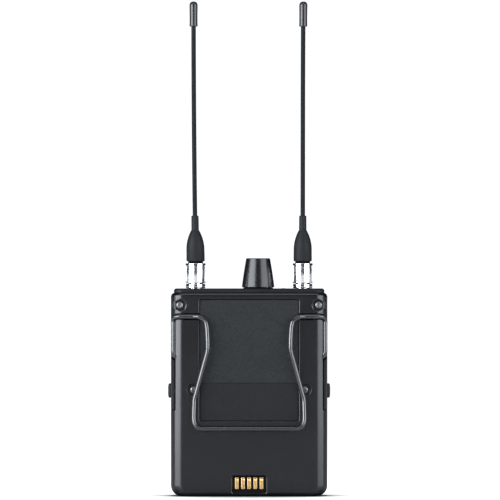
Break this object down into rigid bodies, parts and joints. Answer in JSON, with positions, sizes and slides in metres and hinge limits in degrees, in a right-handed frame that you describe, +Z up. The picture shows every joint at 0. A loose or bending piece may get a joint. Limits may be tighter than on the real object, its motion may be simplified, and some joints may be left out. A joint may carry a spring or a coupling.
{
  "type": "wireless bodypack receiver",
  "caption": "Belt-worn wireless audio bodypack with screw-on whip antennas, a volume knob, a sprung wire belt clip, charging contacts and a hinged battery door.",
  "frame": {"origin": "middle of the flat underside the pack stands on", "axes": "+Z up along the antennas; -Y is the back, with the belt clip and the charging contacts; +Y is the front, with the display and the battery door; +X is to the right seen from the back"},
  "size_m": [0.0668, 0.0264, 0.204],
  "materials": {
    "housing_paint": "satin",
    "trim_plastic": "matte",
    "knob_plastic": "satin",
    "label_film": "matte",
    "gold_contact": "polished",
    "circuit_board": "satin",
    "steel": "satin",
    "chrome_plate": "polished",
    "clip_wire": "satin",
    "antenna_rubber": "matte",
    "antenna_sleeve": "satin",
    "antenna_cap": "gloss",
    "window_gloss": "gloss",
    "led_lens": "gloss",
    "cell_case": "satin"
  },
  "bodies": {
    "housing": {"rear_shell": "housing_paint", "front_bezel": "housing_paint", "top_plate": "trim_plastic", "rear_screw_upper_left": "steel", "rear_screw_upper_right": "steel", "rear_screw_lower_left": "steel", "rear_screw_lower_right": "steel", "label_upper": "label_film", "label_lower": "label_film", "charge_contact_block": "trim_plastic", "charge_contact_1": "gold_contact", "charge_contact_2": "gold_contact", "charge_contact_3": "gold_contact", "charge_contact_4": "gold_contact", "charge_contact_5": "gold_contact", "main_board": "circuit_board", "shield_can": "steel", "display_module": "trim_plastic", "display_window": "window_gloss", "ir_window": "window_gloss", "led_pipe_link": "led_lens", "led_pipe_battery": "led_lens", "phone_jack": "trim_plastic", "phone_jack_nut": "steel", "pot_body": "steel", "pot_nut": "steel", "antenna_jack_left": "chrome_plate", "antenna_jack_right": "chrome_plate", "antenna_jack_nut_left": "chrome_plate", "antenna_jack_nut_right": "chrome_plate", "clip_leg_left": "clip_wire", "clip_leg_right": "clip_wire", "battery_tray": "trim_plastic", "battery_cell_left": "cell_case", "battery_cell_right": "cell_case", "contact_spring_left": "steel", "contact_spring_right": "steel", "contact_plate_left": "steel", "contact_plate_right": "steel", "hinge_pin_left": "steel", "hinge_pin_right": "steel"},
    "belt_clip": {"clip_loop": "clip_wire"},
    "volume_control": {"volume_knob": "knob_plastic", "pot_shaft": "steel"},
    "battery_door": {"door_panel": "housing_paint"},
    "latch_left": {"latch_button_left": "trim_plastic"},
    "latch_right": {"latch_button_right": "trim_plastic"},
    "button_up": {"menu_button_up": "trim_plastic"},
    "button_enter": {"menu_button_enter": "trim_plastic"},
    "button_down": {"menu_button_down": "trim_plastic"},
    "antenna_left": {"antenna_ferrule_left": "steel", "antenna_boot_left": "antenna_rubber", "antenna_whip_left": "antenna_sleeve", "antenna_tip_left": "antenna_cap"},
    "antenna_nut_left": {"coupling_nut_left": "chrome_plate"},
    "antenna_right": {"antenna_ferrule_right": "steel", "antenna_boot_right": "antenna_rubber", "antenna_whip_right": "antenna_sleeve", "antenna_tip_right": "antenna_cap"},
    "antenna_nut_right": {"coupling_nut_right": "chrome_plate"}
  },
  "joints": [
    {"name": "clip_swing", "type": "hinge", "parent": "housing", "child": "belt_clip", "pos_m": [0, -0.0112, 0.074], "axis": [-1, 0, 0], "range_deg": [0, 20], "stiffness_Nm_per_rad": 1.2},
    {"name": "volume_turn", "type": "hinge", "parent": "housing", "child": "volume_control", "pos_m": [0.0037, 0, 0.09], "axis": [0, 0, 1], "range_deg": [-300, 0]},
    {"name": "door_swing", "type": "hinge", "parent": "housing", "child": "battery_door", "pos_m": [0, 0.0086, 0.0026], "axis": [-1, 0, 0], "range_deg": [0, 90]},
    {"name": "latch_left_press", "type": "slide", "parent": "battery_door", "child": "latch_left", "axis": [1, 0, 0], "range_m": [0, 0.0009], "stiffness_N_per_m": 800},
    {"name": "latch_right_press", "type": "slide", "parent": "battery_door", "child": "latch_right", "axis": [-1, 0, 0], "range_m": [0, 0.0009], "stiffness_N_per_m": 800},
    {"name": "up_press", "type": "slide", "parent": "housing", "child": "button_up", "axis": [0, -1, 0], "range_m": [0, 0.0004], "stiffness_N_per_m": 1500},
    {"name": "enter_press", "type": "slide", "parent": "housing", "child": "button_enter", "axis": [0, -1, 0], "range_m": [0, 0.0004], "stiffness_N_per_m": 1500},
    {"name": "down_press", "type": "slide", "parent": "housing", "child": "button_down", "axis": [0, -1, 0], "range_m": [0, 0.0004], "stiffness_N_per_m": 1500},
    {"name": "antenna_left_lift", "type": "slide", "parent": "housing", "child": "antenna_left", "axis": [0, 0, 1], "range_m": [0, 0.00564]},
    {"name": "nut_left_turn", "type": "hinge", "parent": "antenna_left", "child": "antenna_nut_left", "pos_m": [-0.0221, 0, 0.0918], "axis": [0, 0, 1], "range_deg": [0, 2880]},
    {"name": "antenna_right_lift", "type": "slide", "parent": "housing", "child": "antenna_right", "axis": [0, 0, 1], "range_m": [0, 0.00564]},
    {"name": "nut_right_turn", "type": "hinge", "parent": "antenna_right", "child": "antenna_nut_right", "pos_m": [0.0221, 0, 0.0918], "axis": [0, 0, 1], "range_deg": [0, 2880]}
  ],
  "couplings": [
    {"joint": "nut_left_turn", "follows": "antenna_left_lift", "rad_per_m": 8905.3},
    {"joint": "nut_right_turn", "follows": "antenna_right_lift", "rad_per_m": 8905.3}
  ]
}
